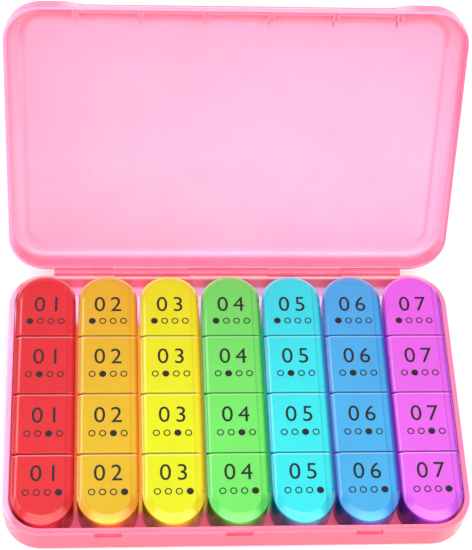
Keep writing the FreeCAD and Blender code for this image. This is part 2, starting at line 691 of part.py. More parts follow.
def hollow_flap(body, low, high):
    """Cuts the underside away between two places, down to the lid's skin."""
    under = new_sketch(body, "underside", "XY_Plane", "(0 - %s)" % BARREL)
    add_rectangle(under, "under", "(%s + flap_rim)" % FLAP_LEFT,
                  "(0 - %s - ear_gap - flap_rim)" % BARREL, low, high)
    pocket(body, under, "(flap_height - flap_skin)", along_normal=True)


def add_slot_profile(sketch):
    """The room for an ear: round about its eye, open below for its post to swing in, with the
    lid's top left as a cover over it as far as ear_cover degrees above the axis."""
    low, reach = "(0 - %s - flap_rim)" % BARREL, "(%s + flap_rim)" % BARREL
    inner, outer, floor = value(EYE_ROOM), value(reach), value(low)
    across, upward = value("cos(ear_cover)"), value("sin(ear_cover)")
    arc = sketch.addGeometry(arc_about(point(0, 0), inner, value("ear_cover"), 180))
    corners = [point(-inner, 0), point(-inner, floor), point(outer * across, floor),
               point(outer * across, outer * upward), point(inner * across, inner * upward)]
    loop = [sketch.addGeometry(Part.LineSegment(corners[index], corners[index + 1]))
            for index in range(len(corners) - 1)]
    for index in range(len(loop) - 1):
        tie(sketch, "Coincident", loop[index], 2, loop[index + 1], 1)
    tie(sketch, "Tangent", arc, 2, loop[0], 1)
    tie(sketch, "Coincident", loop[-1], 2, arc, 1)
    tie(sketch, "Coincident", arc, 3, -1, 1)
    tie(sketch, "Vertical", loop[0])
    tie(sketch, "Horizontal", loop[1])
    tie(sketch, "Vertical", loop[2])
    bind(sketch, "room", EYE_ROOM, "Radius", arc)
    bind(sketch, "cover", "(%s * cos(ear_cover))" % EYE_ROOM, "DistanceX", -1, 1, arc, 1)
    bind(sketch, "floor", low, "DistanceY", -1, 1, loop[1], 1)
    bind(sketch, "end_x", "(%s * cos(ear_cover))" % reach, "DistanceX", -1, 1, loop[2], 2)
    bind(sketch, "end_z", "(%s * sin(ear_cover))" % reach, "DistanceY", -1, 1, loop[2], 2)


def cut_ear_slot(body, name, low, high):
    """Cuts the room for an ear into the barrel, between two places along the axis."""
    slot = new_sketch(body, "slot_" + name, "XZ_Plane", "(0 - %s)" % low)
    add_slot_profile(slot)
    pocket(body, slot, "(%s - %s)" % (high, low))


def add_trunnion(body, low, high):
    """The pin along the flip lid's axis, from low to high."""
    bar = new_sketch(body, "trunnion", "XZ_Plane", "(0 - %s)" % high)
    add_circle(bar, "trunnion", "0", "0", "trunnion_radius")
    pad(body, bar, "(%s - %s)" % (high, low))


SLOT_START = "(flap_pitch / 2 - ear_width / 2 - ear_gap)"
TRUNNION_TIP = "(flap_pitch / 2 - trunnion_tip_gap)"


def middle_flap(label):
    """A flip lid over one of the two middle wells."""
    low, high = "(0 - %s / 2)" % FLAP_LENGTH, "(%s / 2)" % FLAP_LENGTH
    body = flap_body(label, low, high)
    for name, place in (("front", low), ("back", high)):
        bevel_edges(body, "bevel_" + name, "seam_bevel", top_edges_at(place))
    hollow_flap(body, "(%s + flap_rim)" % low, "(%s - flap_rim)" % high)
    cut_ear_slot(body, "back", SLOT_START, high)
    cut_ear_slot(body, "front", low, "(0 - %s)" % SLOT_START)
    add_trunnion(body, "(0 - %s)" % TRUNNION_TIP, TRUNNION_TIP)
    return body


def add_outside_of_round(sketch, arc_y, far_y):
    """All that lies beyond the half round at one end, as one closed loop."""
    half = value(BOX_RADIUS)
    spare, middle, far = half + value("flap_rim"), value(arc_y), value(far_y)
    first = 0 if far > middle else 180
    right_end, left_end = (1, 2) if far > middle else (2, 1)
    arc = sketch.addGeometry(arc_about(point(0, middle), half, first, first + 180))
    corners = [point(-half, middle), point(-spare, middle), point(-spare, far),
               point(spare, far), point(spare, middle), point(half, middle)]
    loop = [sketch.addGeometry(Part.LineSegment(corners[index], corners[index + 1]))
            for index in range(len(corners) - 1)]
    for index in range(len(loop) - 1):
        tie(sketch, "Coincident", loop[index], 2, loop[index + 1], 1)
    tie(sketch, "Coincident", arc, left_end, loop[0], 1)
    tie(sketch, "Coincident", arc, right_end, loop[-1], 2)
    for index in (0, 2, 4):
        tie(sketch, "Horizontal", loop[index])
    for index in (1, 3):
        tie(sketch, "Vertical", loop[index])
    tie(sketch, "PointOnObject", arc, 3, -2)
    tie(sketch, "Horizontal", arc, 3, arc, 1)
    tie(sketch, "Horizontal", arc, 3, arc, 2)
    bind(sketch, "round", BOX_RADIUS, "Radius", arc)
    bind(sketch, "arc_y", arc_y, "DistanceY", -1, 1, arc, 3)
    bind(sketch, "far_y", far_y, "DistanceY", -1, 1, loop[2], 1)
    bind(sketch, "left", "(0 - %s - flap_rim)" % BOX_RADIUS, "DistanceX", -1, 1, loop[1], 1)
    bind(sketch, "right", "(%s + flap_rim)" % BOX_RADIUS, "DistanceX", -1, 1, loop[3], 1)


NOSE_START = "(%s - bevel_width + nose_spread)" % BOX_RADIUS


def add_nose_profile(sketch, end):
    """What is turned off the lid's round end: all above a slope that leaves the flat top."""
    start, reach, drop, top, spare = [value(item) for item in
                                      (NOSE_START, "nose_reach", "nose_drop", BARREL, "flap_rim")]
    outer = start + reach + spare
    corners = [point(end * x, z) for x, z in ((start, top), (start + reach, top - drop), (outer, top - drop),
                                              (outer, top + spare), (start, top + spare))]
    loop = [sketch.addGeometry(Part.LineSegment(corners[index], corners[(index + 1) % len(corners)]))
            for index in range(len(corners))]
    for index in range(len(loop)):
        tie(sketch, "Coincident", loop[index], 2, loop[(index + 1) % len(loop)], 1)
    for index in (1, 3):
        tie(sketch, "Horizontal", loop[index])
    for index in (2, 4):
        tie(sketch, "Vertical", loop[index])
    bind(sketch, "start", "(%d * %s)" % (end, NOSE_START), "DistanceX", -1, 1, loop[0], 1)
    bind(sketch, "top", BARREL, "DistanceY", -1, 1, loop[0], 1)
    bind(sketch, "reach", "(%d * (%s + nose_reach))" % (end, NOSE_START), "DistanceX", -1, 1, loop[0], 2)
    bind(sketch, "drop", "(%s - nose_drop)" % BARREL, "DistanceY", -1, 1, loop[0], 2)
    bind(sketch, "spare_out", "(%d * (%s + nose_reach + flap_rim))" % (end, NOSE_START),
         "DistanceX", -1, 1, loop[1], 2)
    bind(sketch, "spare_up", "(%s + flap_rim)" % BARREL, "DistanceY", -1, 1, loop[2], 2)


def end_flap(label, end):
    """A flip lid over a half-round well, sloping down at its round end (end 1 back, -1 front)."""
    # places along the axis, from the middle of a flip lid of the usual length
    seam = "(%d * %s / 2)" % (-end, FLAP_LENGTH)
    tip_y = "(%d * (%s / 2 - 1.5 * flap_pitch))" % (end, BOX_LENGTH)
    arc_y = "(%d * (%s - 1.5 * flap_pitch))" % (end, ROUND_CENTRE)
    ear_y = "(%d * (%s - 1.5 * flap_pitch))" % (end, OUTER_EAR)
    nose_y = "(%s - %d * (%s + nose_reach))" % (tip_y, end, NOSE_START)
    body = flap_body(label, *((seam, tip_y) if end > 0 else (tip_y, seam)))
    bevel_edges(body, "bevel", "seam_bevel", top_edges_at(seam))

    trim = new_sketch(body, "trim", "XY_Plane", "(0 - flap_height)")
    trim.setExpression("AttachmentOffset.Base.x", on_sheet(FLAP_MIDDLE_X))
    add_outside_of_round(trim, arc_y, "(%s + %d * flap_rim)" % (tip_y, end))
    pocket(body, trim, "(2 * flap_height)", along_normal=True)

    nose = new_sketch(body, "nose", "XZ_Plane", "(0 - %s)" % nose_y)
    nose.setExpression("AttachmentOffset.Base.x", on_sheet(FLAP_MIDDLE_X))
    add_nose_profile(nose, end)
    before = body.Shape.Volume
    groove = body.newObject("PartDesign::Groove", body.Name + "_nose_groove")
    groove.Profile = nose
    groove.ReferenceAxis = (nose, ["V_Axis"])
    groove.Angle = 180
    finish(groove)
    if groove.Shape.Volume >= before:
        raise RuntimeError("%s cuts nothing" % groove.Name)

    hollow_flap(body, *(("(%s + flap_rim)" % seam, arc_y) if end > 0 else (arc_y, "(%s - flap_rim)" % seam)))
    seam_slot = "(%d * %s)" % (-end, SLOT_START)
    cut_ear_slot(body, "seam", *((seam, seam_slot) if end > 0 else (seam_slot, seam)))
    cut_ear_slot(body, "outer", "(%s - ear_width / 2 - ear_gap)" % ear_y,
                 "(%s + ear_width / 2 + ear_gap)" % ear_y)
    outer_tip = "(%s + %d * (ear_width / 2 - trunnion_tip_gap))" % (ear_y, end)
    seam_tip = "(%d * %s)" % (-end, TRUNNION_TIP)
    add_trunnion(body, *((seam_tip, outer_tip) if end > 0 else (outer_tip, seam_tip)))
    return body


# ---------------------------------------------------------------------------
# The seven day boxes and their flip lids, set side by side in the tray
# ---------------------------------------------------------------------------

def copy_of(master, label):
    """One more piece of the same moulding."""
    body = new_body(label)
    moulding = body.newObject("PartDesign::FeatureBase", label + "_moulding")
    moulding.BaseFeature = master
    body.Tip = moulding
    return body


def stand_at(body, x, y, z):
    """Places a piece by formulas on the sheet."""
    for axis, formula in (("x", x), ("y", y), ("z", z)):
        body.setExpression("Placement.Base." + axis, on_sheet(formula))


# flip lids are numbered from the back: one end moulding, two middle ones, one end moulding
FLAP_MOULDINGS = {1: end_flap("day_1_lid_1", 1), 2: middle_flap("day_1_lid_2"),
                  4: end_flap("day_1_lid_4", -1)}
FLAP_MOULDINGS[3] = FLAP_MOULDINGS[2]

BOX_FOOT_Z = "(tray_floor + box_seat)"
pieces = [tray, lid, pin]
for day in range(1, DAYS + 1):
    day_x = "(%s * %d)" % (BOX_PITCH, day - (DAYS + 1) // 2)
    day_box = box if day == 1 else copy_of(box, "day_%d_box" % day)
    stand_at(day_box, day_x, "0", BOX_FOOT_Z)
    pieces.append(day_box)
    for slot in range(1, SLOTS + 1):
        label = "day_%d_lid_%d" % (day, slot)
        moulding = FLAP_MOULDINGS[slot]
        flap = moulding if moulding.Label == label else copy_of(moulding, label)
        stand_at(flap, "(%s + %s)" % (day_x, FLAP_AXIS_X),
                 "(flap_pitch * %g)" % ((SLOTS + 1) / 2 - slot),
                 "(%s + %s)" % (BOX_FOOT_Z, FLAP_AXIS_Z))
        pieces.append(flap)


# ---------------------------------------------------------------------------
# Check and write
# ---------------------------------------------------------------------------

document.recompute()
for item in document.Objects:
    if {"Invalid", "Error"} & set(item.State):
        raise RuntimeError("%s is %s" % (item.Name, item.State))

os.makedirs("parts", exist_ok=True)
for piece in pieces:
    if piece.Shape.isNull() or not piece.Shape.isValid():
        raise RuntimeError("%s has no valid shape" % piece.Label)
    piece.Shape.exportStep("parts/%s.step" % piece.Label)
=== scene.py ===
import json
import math

import bmesh
import bpy
import numpy as np
from mathutils import Matrix, Vector


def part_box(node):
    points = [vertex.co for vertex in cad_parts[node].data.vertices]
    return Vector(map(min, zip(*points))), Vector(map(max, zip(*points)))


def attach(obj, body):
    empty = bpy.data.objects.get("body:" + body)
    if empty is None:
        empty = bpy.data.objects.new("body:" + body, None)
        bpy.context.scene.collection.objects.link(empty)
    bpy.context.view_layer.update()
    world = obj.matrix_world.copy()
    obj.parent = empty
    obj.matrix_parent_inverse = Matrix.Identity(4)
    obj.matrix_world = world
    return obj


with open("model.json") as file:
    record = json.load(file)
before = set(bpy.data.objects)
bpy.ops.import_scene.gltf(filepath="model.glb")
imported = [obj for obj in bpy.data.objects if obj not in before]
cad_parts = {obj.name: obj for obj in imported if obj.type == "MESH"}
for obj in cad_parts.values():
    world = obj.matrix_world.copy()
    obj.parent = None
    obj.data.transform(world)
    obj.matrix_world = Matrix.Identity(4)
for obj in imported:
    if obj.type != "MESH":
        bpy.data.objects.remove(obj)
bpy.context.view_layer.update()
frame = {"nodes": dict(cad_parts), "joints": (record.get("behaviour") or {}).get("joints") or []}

nodes = frame["nodes"]


# ---------------------------------------------------------------------------
# The case: tray and lid, moulded in one glossy pink plastic that lets a little
# light through.  The mould was polished, so the faces shine; years of handling
# would show first as fine rubbing in the gloss.
# ---------------------------------------------------------------------------

def linear(red, green, blue):
    """A colour in screen values from 0 to 255, as the linear colour that a shader takes."""
    parts = np.array([red, green, blue]) / 255.0
    light = np.where(parts <= 0.04045, parts / 12.92, ((parts + 0.055) / 1.055) ** 2.4)
    return (*light.tolist(), 1.0)


def dimmed(colour, share):
    """A share of a linear colour."""
    return (*(share * part for part in colour[:3]), 1.0)


class Value:
    """A number on its way through a finish: arithmetic on it adds Math nodes."""

    def __init__(self, finish, socket):
        self.finish = finish
        self.socket = socket

    def _math(self, operation, first, second):
        return self.finish.node("ShaderNodeMath", {"operation": operation}, {0: first, 1: second})

    def __add__(self, other):
        return self._math("ADD", self, other)

    __radd__ = __add__

    def __sub__(self, other):
        return self._math("SUBTRACT", self, other)

    def __rsub__(self, other):
        return self._math("SUBTRACT", other, self)

    def __mul__(self, other):
        return self._math("MULTIPLY", self, other)

    __rmul__ = __mul__

    def __abs__(self):
        return self._math("ABSOLUTE", self, 0.0)

    def power(self, other):
        return self._math("POWER", self, other)

    def least(self, other):
        return self._math("MINIMUM", self, other)

    def most(self, other):
        return self._math("MAXIMUM", self, other)

    def wrapped(self, low, high):
        return self.finish.node("ShaderNodeMath", {"operation": "WRAP"}, {0: self, 1: high, 2: low})


FADE = 0.0004        # how far a colour takes to change at an edge, in metres


class Finish:
    """A material with one shader, and the nodes that feed it."""

    def __init__(self, name):
        self.material = bpy.data.materials.new(name)
        self.material.use_nodes = True
        self.tree = self.material.node_tree
        self.shader = self.tree.nodes["Principled BSDF"]

    def node(self, kind, settings=None, inputs=None, output=0):
        """Adds one node: its settings first, then its sockets, each a value or a link."""
        made = self.tree.nodes.new(kind)
        for name, setting in (settings or {}).items():
            setattr(made, name, setting)
        self.feed(made, inputs or {})
        return Value(self, made.outputs[output])

    def feed(self, made, inputs):
        """Sets or links the sockets of a node."""
        for name, item in inputs.items():
            if isinstance(item, Value):
                self.tree.links.new(item.socket, made.inputs[name])
            else:
                made.inputs[name].default_value = item

    def place(self):
        """Where a point lies on the piece, in metres."""
        return self.node("ShaderNodeTexCoord", output="Object")

    def axes(self):
        """The place as three numbers, X, Y and Z."""
        parted = self.node("ShaderNodeSeparateXYZ", inputs={0: self.place()}).socket.node
        return [Value(self, socket) for socket in parted.outputs]

    def stretched(self, scale):
        """The place multiplied by three numbers, so that a pattern on it is drawn out along X."""
        return self.node("ShaderNodeMapping", inputs={"Vector": self.place(), "Scale": scale})

    def noise(self, scale, detail=2.0, roughness=0.5, place=None):
        """Soft blotches, about scale of them to a metre."""
        return self.node("ShaderNodeTexNoise", inputs={
            "Vector": place or self.place(), "Scale": scale, "Detail": detail, "Roughness": roughness})

    def bump(self, height, strength, distance, normal=None):
        """The way the surface faces where a height is laid on it."""
        inputs = {"Height": height, "Strength": strength, "Distance": distance}
        if normal is not None:
            inputs["Normal"] = normal
        return self.node("ShaderNodeBump", inputs=inputs)

    def span(self, value, low, high, to_low=0.0, to_high=1.0):
        """Carries the range low to high onto another, and stops at its ends."""
        return self.node("ShaderNodeMapRange", {"clamp": True}, {
            "Value": value, "From Min": low, "From Max": high, "To Min": to_low, "To Max": to_high})

    def past(self, value, start, fade=FADE):
        """1 where a value is past start by the fade or more, 0 where it isn't past start."""
        return self.span(value, start, start + fade)

    def under(self, value, start, fade=FADE):
        """1 where a value is under start by the fade or more, 0 where it isn't under start."""
        return self.span(value, start, start - fade)

    def blend(self, share, first, second, kind="MIX"):
        """Mixes two colours, or multiplies the first by the second."""
        return self.node("ShaderNodeMix", {"data_type": "RGBA", "blend_type": kind},
                         {0: share, 6: first, 7: second}, output=2)

    def layers(self, base, *coats):
        """Lays coats over a base colour, each a share and a colour."""
        for share, colour in coats:
            base = self.blend(share, base, colour)
        return base


NO_LIGHT = (0.0, 0.0, 0.0, 1.0)
UNEVEN = (0.96, 0.93, 0.94, 1.0)
LIGHT_DEPTH = 0.0018        # how far light wanders inside the plastic


def moulded(name, paint, gloss=0.15, glow=0.3, shine=0.5):
    """Glossy moulded plastic: a slow drift of shade where the melt cooled unevenly, fine rubbed streaks in
    the gloss, and the faint ripple that a polished mould leaves.  paint gives the colour at a place, a
    painted glow there that stands in for light the plastic carries or shows along its thin edges, and any
    fine relief in metres."""
    finish = Finish(name)
    colour, painted_glow, relief = paint(finish, *finish.axes())
    drift = finish.noise(26.0, detail=2.0)
    cloud = finish.noise(140.0, detail=3.0, roughness=0.6)
    shade = finish.span(drift * 0.75 + cloud * 0.25, 0.36, 0.66)
    along = finish.stretched((60.0, 900.0, 900.0))
    streaks = finish.span(finish.noise(1.0, detail=3.0, roughness=0.65, place=along), 0.58, 0.74)
    rubbed = streaks * finish.span(finish.noise(45.0, detail=1.0), 0.45, 0.62)
    ripple = finish.noise(420.0, detail=1.0) * 0.7 + finish.noise(1500.0, detail=1.0) * 0.3
    normal = finish.bump(ripple, strength=0.05, distance=0.0004)
    if relief is not None:
        normal = finish.bump(relief, strength=1.0, distance=1.0, normal=normal)
    finish.feed(finish.shader, {
        "Base Color": finish.blend(shade, colour, UNEVEN, "MULTIPLY"),
        "Roughness": gloss + 0.05 * shade + 0.14 * rubbed,
        "Normal": normal,
        "IOR": 1.49,
        "Specular IOR Level": shine,
        "Subsurface Weight": glow,
        "Subsurface Radius": (1.0, 0.8, 0.9),
        "Subsurface Scale": LIGHT_DEPTH,
        # the painted glow: emission standing in for light through the plastic and on its thin edges
        "Emission Color": painted_glow,
        "Emission Strength": 1.0,
    })
    return finish.material


def dress(names, material):
    """Gives nodes of the frame one material."""
    for name in names:
        for place in nodes[name].material_slots:
            place.material = material


def joint(name):
    """A joint of the frame, by its name."""
    return next(found for found in frame["joints"] if found["name"] == name)


tray_low, tray_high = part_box("base_tray")
HALF_WIDTH, HALF_DEPTH = tray_high.x, -tray_low.y
CORNER = 0.018
# half of each side's straight stretch, between the rounds of the corners
STRAIGHT_WIDTH, STRAIGHT_DEPTH = HALF_WIDTH - CORNER, HALF_DEPTH - CORNER
TRAY_WALL = 0.0028
RIM_BAND, RIM_FADE = 0.0055, 0.003                             # how far in the rim's painted highlights reach
NOTCH_OUTER, NOTCH_INNER = 0.0006, 0.0016                      # where a nail notch's tint lies
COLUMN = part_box("day_2_box")[0].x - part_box("day_1_box")[0].x   # from one box to the next

case_hinge = joint("case_lid_hinge")
HINGE_BACK, RIM_HEIGHT = case_hinge["pos_m"][1:]               # the axis lies level with the rim
LEAN = math.radians(-case_hinge["range_deg"][0] - 90.0)        # of the open lid, from upright
BARREL_PINK = linear(240, 102, 128)


def past_outline(x, y, middle):
    """How far a place lies outside the outline of the case, in metres, negative inside it: the
    distance to a rectangle that is smaller by the corner radius all round, less that radius."""
    across, along = abs(x) - STRAIGHT_WIDTH, abs(y - middle) - STRAIGHT_DEPTH
    corner = (across.most(0.0).power(2.0) + along.most(0.0).power(2.0)).power(0.5)
    return corner + across.most(along).least(0.0) - CORNER


# the painted glow on the tray's floor in the gap on the right of each day's box, standing in for coloured
# light from the boxes on both sides of it, half its width, and how far it lies to the right of the gap's
# middle
FLOOR_BOUNCE_GLOWS = {1: (0.40, 0.12, 0.02, 1.0), 2: (0.37, 0.36, 0.02, 1.0),
               3: (0.26, 0.25, 0.04, 1.0), 4: (0.03, 0.40, 0.10, 1.0)}
BOUNCE_HALF, BOUNCE_SHIFT = 0.0028, 0.0004
MIDDLE_DAY = 4                                                 # whose box stands on x = 0


def tray_paint(finish, x, y, z):
    """The tray is thick and takes a deep pink, redder down inside than on its rim, whose top is painted
    paler as if lit, with a painted lavender highlight on the left, a painted lavender sheen on the right
    and a paler painted rim at the rear.  A painted glow on its inner walls stands in for light coming
    through them, and a painted glow on the floor between the boxes stands in for the coloured light that
    the boxes throw there."""
    out = past_outline(x, y, 0.0)
    inner = finish.under(out, FADE / 2 - TRAY_WALL)
    top = finish.past(z, RIM_HEIGHT - 0.0005)
    left = finish.under(x, RIM_BAND - HALF_WIDTH, RIM_FADE)
    right = finish.past(x, HALF_WIDTH - RIM_BAND, RIM_FADE)
    rear = finish.past(y, HALF_DEPTH - RIM_BAND - 0.001, RIM_FADE)
    notch = finish.under(out, -NOTCH_OUTER, fade=0.0003) * finish.past(out, -NOTCH_INNER)
    notch = notch * finish.under(y, -0.06, fade=0.005)
    barrel = finish.past(y, HALF_DEPTH + 0.0002)
    barrel_top = finish.past(y, HALF_DEPTH - 0.0015, fade=0.0005)
    barrel_top = barrel_top * finish.past(z, RIM_HEIGHT + 0.0001, fade=0.0002)
    # painted light: the rim's top painted paler as lit, a painted lavender highlight on the left rim,
    # painted sheen on the right rim and a paler painted rim at the rear
    colour = finish.layers(
        linear(239, 76, 106),
        (top, linear(244, 130, 156)),
        (top * left, linear(249, 186, 216)),
        (top * right, linear(246, 134, 176)),
        (top * rear, linear(236, 174, 178)),
        (inner, linear(232, 84, 104)),
        (notch * finish.under(z, RIM_HEIGHT - 0.0001), linear(240, 100, 126)),
        (barrel, BARREL_PINK),
        (barrel_top, BARREL_PINK))
    # painted glow: the inner walls glow below the rim, the rear one more and, low down behind the boxes,
    # most, standing in for light coming through the walls
    below_rim = inner * finish.under(z, RIM_HEIGHT - 0.001, fade=0.0025)
    rear_wall = inner * finish.past(y, 0.060, fade=0.006) * finish.past(z, 0.0105, fade=0.003)
    behind = inner * finish.past(y, 0.045, fade=0.015) * finish.under(z, 0.0135, fade=0.003)
    painted_glow = finish.layers(
        NO_LIGHT,
        (below_rim, (0.32, 0.06, 0.12, 1.0)),
        (rear_wall, (0.46, 0.095, 0.13, 1.0)),
        (behind, (0.74, 0.60, 1.0, 1.0)))
    # painted glow on the floor between the boxes' ends, in each gap the colour of light from the boxes
    # beside it
    between = finish.under(abs(y), 0.053, fade=0.003) * finish.under(z, 0.006, fade=0.002)
    for day, bounce_colour in FLOOR_BOUNCE_GLOWS.items():
        middle = (day + 0.5 - MIDDLE_DAY) * COLUMN + BOUNCE_SHIFT
        gap = finish.under(abs(x - middle), BOUNCE_HALF, fade=0.001)
        painted_glow = finish.blend(between * gap, painted_glow, bounce_colour)
    return colour, painted_glow, None


LID_DEPTH = 0.0125         # from the hinge axis to the outside of the lid's plate
LID_ROUND = 0.006          # the round between plate and walls
GRIP_DEPTH = 0.0015        # the finger grip's recess in the opening edge
GRIP_REACH = 0.086         # how far to each side the grip's painted highlight reaches
LINE_INSET = 0.009         # from the outline to the soft painted line of shade down each side
BARREL_RADIUS = 0.0022


def lid_paint(finish, x, y, z):
    """The lid is thin, and much of its colour is painted light and shade.  Its plate is painted paler low
    down, to the right and on its flanks, where more light falls; its walls are darker, partly where one
    looks along the plastic and partly as painted shade, most near the opening edge, at the foot by the
    hinge and on the right rim.  A soft painted line of shade runs down each side where the plate begins to
    thicken, the finger grip is painted pale as a highlight, and a fine dark line of painted shadow runs
    down the middle of each rib at the opening edge."""
    # up and depth start at the hinge axis: up runs along the open lid, depth towards its outside
    back, rise = y - HINGE_BACK, z - RIM_HEIGHT
    up = math.sin(LEAN) * back + math.cos(LEAN) * rise
    depth = math.cos(LEAN) * back - math.sin(LEAN) * rise
    out = past_outline(x, up, HINGE_BACK)
    opening = finish.past(up, 0.130, fade=0.006)
    gripped = opening * finish.under(abs(x), GRIP_REACH, fade=0.010)
    # how far a place is from the middle of the outer round tells the skin's inside from its outside
    wall_part = (out + GRIP_DEPTH * gripped + LID_ROUND).most(0.0).power(2.0)
    plate_part = (depth - (LID_DEPTH - LID_ROUND)).most(0.0).power(2.0)
    inside = finish.under((wall_part + plate_part).power(0.5), LID_ROUND - 0.0007, fade=0.0005)
    outside = finish.past(out, -0.0014, fade=0.0005)
    # painted light: the plate is painted paler low down, and more so to the right
    low = finish.under(up, 0.135, fade=0.075)
    hinge_side = finish.under(up, 0.020, fade=0.012)
    sides = finish.past(abs(x), STRAIGHT_WIDTH, fade=0.005)
    right = finish.past(x, 0.100, fade=0.006) * (1.0 - opening)
    # a soft painted line of shade down each side where the plate begins to thicken
    shade_line = finish.under(abs(out + LINE_INSET), 0.0014, fade=0.001)
    shade_line = shade_line * finish.past(abs(x), HALF_WIDTH - 0.014, fade=0.004) * inside
    # painted shade near the opening edge, where the walls face down
    edge = finish.past(out, -0.0112, fade=0.0032) * finish.past(up, 0.118, fade=0.008)
    edge = edge * (1.0 - sides * finish.past(out, -0.0078, fade=0.0012)) * inside
    # painted shade on the foot of the wall by the hinge and on the walls near the rim
    foot = finish.under(depth, 0.0090, fade=0.001) * hinge_side
    wall = finish.under(depth, 0.0072, fade=0.0017) * finish.past(x, 0.0015 - HALF_WIDTH, fade=0.0015)
    # painted light on the flanks
    flank = finish.past(out, -0.0074, fade=0.0014) * sides
    flank = flank * finish.under(up, 0.110, fade=0.090) * (1.0 - hinge_side)
    rim = finish.under(depth, 0.0006, fade=0.0003)
    outer = outside * finish.under(depth, 0.0110, fade=0.0005)
    # painted highlight in the finger grip
    grip_highlight = outside * gripped * finish.past(depth, 0.0, fade=0.0016)
    # a painted shadow line down the middle of each rib at the opening edge, stronger to the right
    on_rib = finish.under(abs(x.wrapped(0.0, COLUMN) - COLUMN / 2), 0.0008, fade=0.0005)
    mark = on_rib * finish.under(abs(x), STRAIGHT_WIDTH, fade=0.002)
    mark = mark * finish.past(up, 0.129, fade=0.0025) * inside
    mark = mark * (1.0 - rim) * (1.0 - outside) * finish.span(x, -0.06, 0.06, to_low=0.12, to_high=0.62)
    barrel = finish.under((back * back + rise * rise).power(0.5), BARREL_RADIUS + 0.0002, fade=0.0002)
    colour = finish.layers(
        linear(246, 150, 179),
        (low, linear(250, 161, 190)),
        (low * finish.past(x, -0.09, fade=0.08), linear(252, 169, 199)),
        (shade_line * finish.span(x, 0.0, 0.1, to_low=0.32, to_high=0.55), linear(242, 130, 160)),
        (edge, linear(244, 130, 154)),
        (foot, linear(246, 134, 166)),
        (wall, linear(243, 122, 150)),
        (flank, linear(252, 174, 204)),
        (rim * (1.0 - right), linear(250, 158, 188)),
        (outer * (1.0 - right), linear(245, 150, 188)),
        (grip_highlight, linear(252, 206, 224)),
        # painted shade on the rim along the right side
        (rim * right, linear(238, 112, 144)),
        (mark, linear(170, 48, 92)),
        (barrel, BARREL_PINK))
    return colour, NO_LIGHT, None


dress(["base_tray"], moulded("pink_tray_plastic", tray_paint, glow=0.35))
dress(["case_lid"], moulded("pink_lid_plastic", lid_paint, glow=0.35))


# ---------------------------------------------------------------------------
# The hinge pin: one length of drawn steel wire, pushed through the five knuckles of
# the case hinge from one side and held by its fit in the tray's.  Only its end shows.
# ---------------------------------------------------------------------------

def drawn_wire():
    """Bare steel with fine die marks along X."""
    finish = Finish("drawn_steel_wire")
    along = finish.stretched((120.0, 9000.0, 9000.0))
    marks = finish.noise(1.0, detail=3.0, roughness=0.6, place=along)
    finish.feed(finish.shader, {
        "Base Color": finish.blend(marks, linear(176, 178, 182), linear(208, 209, 212)),
        "Metallic": 1.0,
        "Roughness": 0.24 + 0.2 * marks,
        "Normal": finish.bump(marks, strength=0.1, distance=0.00005),
    })
    return finish.material


dress(["hinge_pin"], drawn_wire())


# ---------------------------------------------------------------------------
# The seven day boxes and their flip lids: one colour to a day, box and lids from the same clear-tinted
# glossy plastic.  The box walls and the lids' sides are painted in a deeper tone than the lids' tops, a
# painted shade, because one looks into the boxes and not onto a flat top.
# ---------------------------------------------------------------------------

# for each day: the colour's name, its tone on a lid's top, and the deeper tone of sides and boxes, painted
# shade
DAY_COLOURS = {
    1: ("red", (202, 49, 54), (176, 10, 20)),
    2: ("orange", (204, 169, 41), (200, 92, 8)),
    3: ("yellow", (205, 212, 30), (196, 150, 6)),
    4: ("green", (105, 209, 94), (14, 150, 52)),
    5: ("cyan", (55, 209, 211), (8, 132, 170)),
    6: ("blue", (68, 160, 209), (18, 84, 176)),
    7: ("magenta", (206, 96, 211), (130, 30, 176)),
}
SLOTS = range(1, 5)                                   # the lids of a box, from the back to the front
# sizes of a box and its lids, taken from the middle day's
box_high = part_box("day_4_box")[1]
SIDE, END = box_high.x, box_high.y - box_high.x       # half width, and where the round end begins
LID_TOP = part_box("day_4_lid_2")[1].z
AXIS, first_back = joint("day_4_lid_1_hinge")["pos_m"][:2]
SLOT = first_back - joint("day_4_lid_2_hinge")["pos_m"][1]      # from one lid to the next
FACET_WIDTH = 0.0040                                  # of the hinge barrel's slope
SLOPE = SIDE - FACET_WIDTH                            # where the slope begins
NOSE, NOSE_RIM = 0.0106, 0.0134                       # radii where a nose's painted glow and its rim's painted highlight begin
LEFT_BAND = 0.0013                                    # how far in the left side's painted shade reaches
LIP_WIDTH = 0.0015                                    # of the painted highlight along a lid's rear edge
SIDE_DROP, END_DROP = 0.0014, 0.0007                  # from a lid's top down to the painted shade of its sides
# painted shade, darker towards the case hinge
BACK_SHADE = (0.92, 0.78, 0.89, 1.0)
# the small round on the left bevel: how far in its middle lies, half its width, how steep it is
ROUND_INSET, ROUND_HALF, ROUND_STEEPNESS = 0.0019, 0.0011, 100.0


